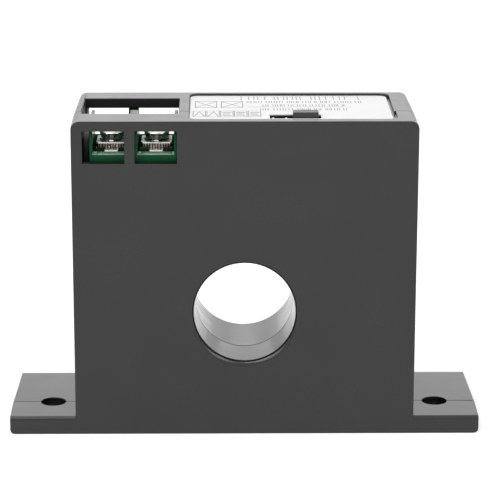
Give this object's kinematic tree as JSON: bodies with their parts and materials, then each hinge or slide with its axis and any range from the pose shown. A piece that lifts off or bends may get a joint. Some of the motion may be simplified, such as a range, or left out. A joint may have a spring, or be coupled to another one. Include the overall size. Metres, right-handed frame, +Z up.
{
  "type": "ac current transmitter",
  "caption": "Block-shaped current transmitter with a round conductor bore, screw terminals behind windows, a range jumper in the top label, and drilled side feet.",
  "frame": {"origin": "middle of the base, on the surface that the feet stand on", "axes": "+X across the width towards the end away from the terminals, +Y along the bore from the front face to the rear face, +Z up"},
  "size_m": [0.094, 0.028, 0.0646],
  "materials": {
    "housing": "fine matt black ABS",
    "label": "satin white film",
    "terminal": "satin green polyamide",
    "tinned_metal": "tin-plated brass",
    "screw_metal": "nickel-plated steel",
    "header_plastic": "black nylon",
    "jumper_plastic": "black nylon",
    "pin_metal": "gold-flashed brass",
    "board": "green solder mask on glass laminate",
    "core_metal": "tape-wound steel core",
    "copper_wire": "enamelled copper wire",
    "resistor_body": "lacquer",
    "film_box": "moulded box",
    "trimmer_box": "moulded box",
    "capacitor_sleeve": "shrink sleeve"
  },
  "bodies": {
    "root": {"front_shell": "housing", "rear_shell": "housing", "label_plate": "label", "terminal_body": "terminal", "contact_strip_left": "tinned_metal", "contact_strip_right": "tinned_metal", "header_base": "header_plastic", "header_upper_base": "header_plastic", "header_pin_1": "pin_metal", "header_pin_2": "pin_metal", "header_pin_3": "pin_metal", "header_pin_4": "pin_metal", "circuit_board": "board", "toroid_core": "core_metal", "secondary_winding": "copper_wire", "lead_wire_1": "copper_wire", "lead_wire_2": "copper_wire", "burden_resistor_1": "resistor_body", "burden_resistor_2": "resistor_body", "burden_resistor_3": "resistor_body", "film_capacitor": "film_box", "bridge_rectifier": "header_plastic", "trim_potentiometer": "trimmer_box", "smoothing_capacitor": "capacitor_sleeve"},
    "left_clamp": {"square_washer_left": "screw_metal", "spring_washer_left": "screw_metal"},
    "left_screw": {"clamp_screw_left": "screw_metal"},
    "right_clamp": {"square_washer_right": "screw_metal", "spring_washer_right": "screw_metal"},
    "right_screw": {"clamp_screw_right": "screw_metal"},
    "jumper": {"jumper_cap": "jumper_plastic", "jumper_clip": "pin_metal"}
  },
  "joints": [
    {"name": "left_clamp_lift", "type": "slide", "parent": "root", "child": "left_clamp", "axis": [0, 0, 1], "range_m": [0, 0.0025]},
    {"name": "left_screw_turn", "type": "hinge", "parent": "left_clamp", "child": "left_screw", "pos_m": [-0.02615, -0.003, 0.0584], "axis": [0, 0, 1], "range_deg": [0, 1800]},
    {"name": "right_clamp_lift", "type": "slide", "parent": "root", "child": "right_clamp", "axis": [0, 0, 1], "range_m": [0, 0.0025]},
    {"name": "right_screw_turn", "type": "hinge", "parent": "right_clamp", "child": "right_screw", "pos_m": [-0.01735, -0.003, 0.0584], "axis": [0, 0, 1], "range_deg": [0, 1800]},
    {"name": "jumper_pull", "type": "slide", "parent": "root", "child": "jumper", "axis": [0, 0, 1], "range_m": [0, 0.005]}
  ],
  "couplings": [
    {"joint": "left_screw_turn", "follows": "left_clamp_lift", "rad_per_m": 12566},
    {"joint": "right_screw_turn", "follows": "right_clamp_lift", "rad_per_m": 12566}
  ]
}
